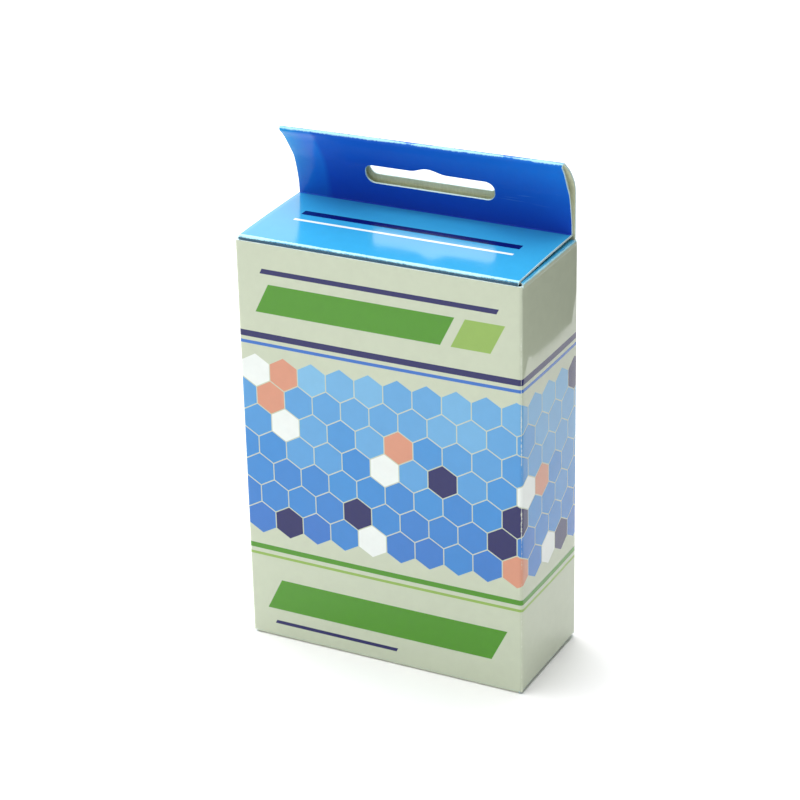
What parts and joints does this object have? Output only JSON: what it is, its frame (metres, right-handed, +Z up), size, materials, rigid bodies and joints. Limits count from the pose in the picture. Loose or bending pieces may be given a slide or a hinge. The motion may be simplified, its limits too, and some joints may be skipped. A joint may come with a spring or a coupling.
{
  "type": "hang-tab carton",
  "caption": "Small upright folding carton of printed board with a hinged tuck-in lid, dust flaps and a folded hang tab with a long slot.",
  "frame": {"origin": "middle of the carton's base", "axes": "+X to the carton's right seen from the front, +Y from the front panel to the back panel, +Z up from the base to the hang tab"},
  "size_m": [0.07, 0.03, 0.1195],
  "materials": {
    "panel_print": "gloss-varnished off-white print with blue and green bands",
    "lid_print": "gloss-varnished sky-blue print",
    "tab_print": "gloss-varnished royal-blue print",
    "bare_board": "matt unprinted board"
  },
  "bodies": {
    "carton": {"front_panel": "panel_print", "right_side_panel": "panel_print", "left_side_panel": "panel_print", "back_panel": "panel_print", "glue_flap": "bare_board", "bottom_panel": "panel_print", "tab_back_ply": "tab_print", "tab_front_ply": "tab_print"},
    "lid": {"lid_panel": "lid_print"},
    "tuck": {"tuck_flap": "lid_print"},
    "right_dust": {"right_dust_flap": "lid_print"},
    "left_dust": {"left_dust_flap": "lid_print"}
  },
  "joints": [
    {"name": "lid_hinge", "type": "hinge", "parent": "carton", "child": "lid", "pos_m": [0, 0.0135, 0.1013], "axis": [-1, 0, 0], "range_deg": [0, 60]},
    {"name": "tuck_hinge", "type": "hinge", "parent": "lid", "child": "tuck", "pos_m": [0, -0.014, 0.0998], "axis": [1, 0, 0], "range_deg": [-14, 30]},
    {"name": "right_dust_hinge", "type": "hinge", "parent": "carton", "child": "right_dust", "pos_m": [0.0341, 0, 0.0995], "axis": [0, -1, 0], "range_deg": [0, 85]},
    {"name": "left_dust_hinge", "type": "hinge", "parent": "carton", "child": "left_dust", "pos_m": [-0.0341, 0, 0.0995], "axis": [0, 1, 0], "range_deg": [0, 85]}
  ]
}
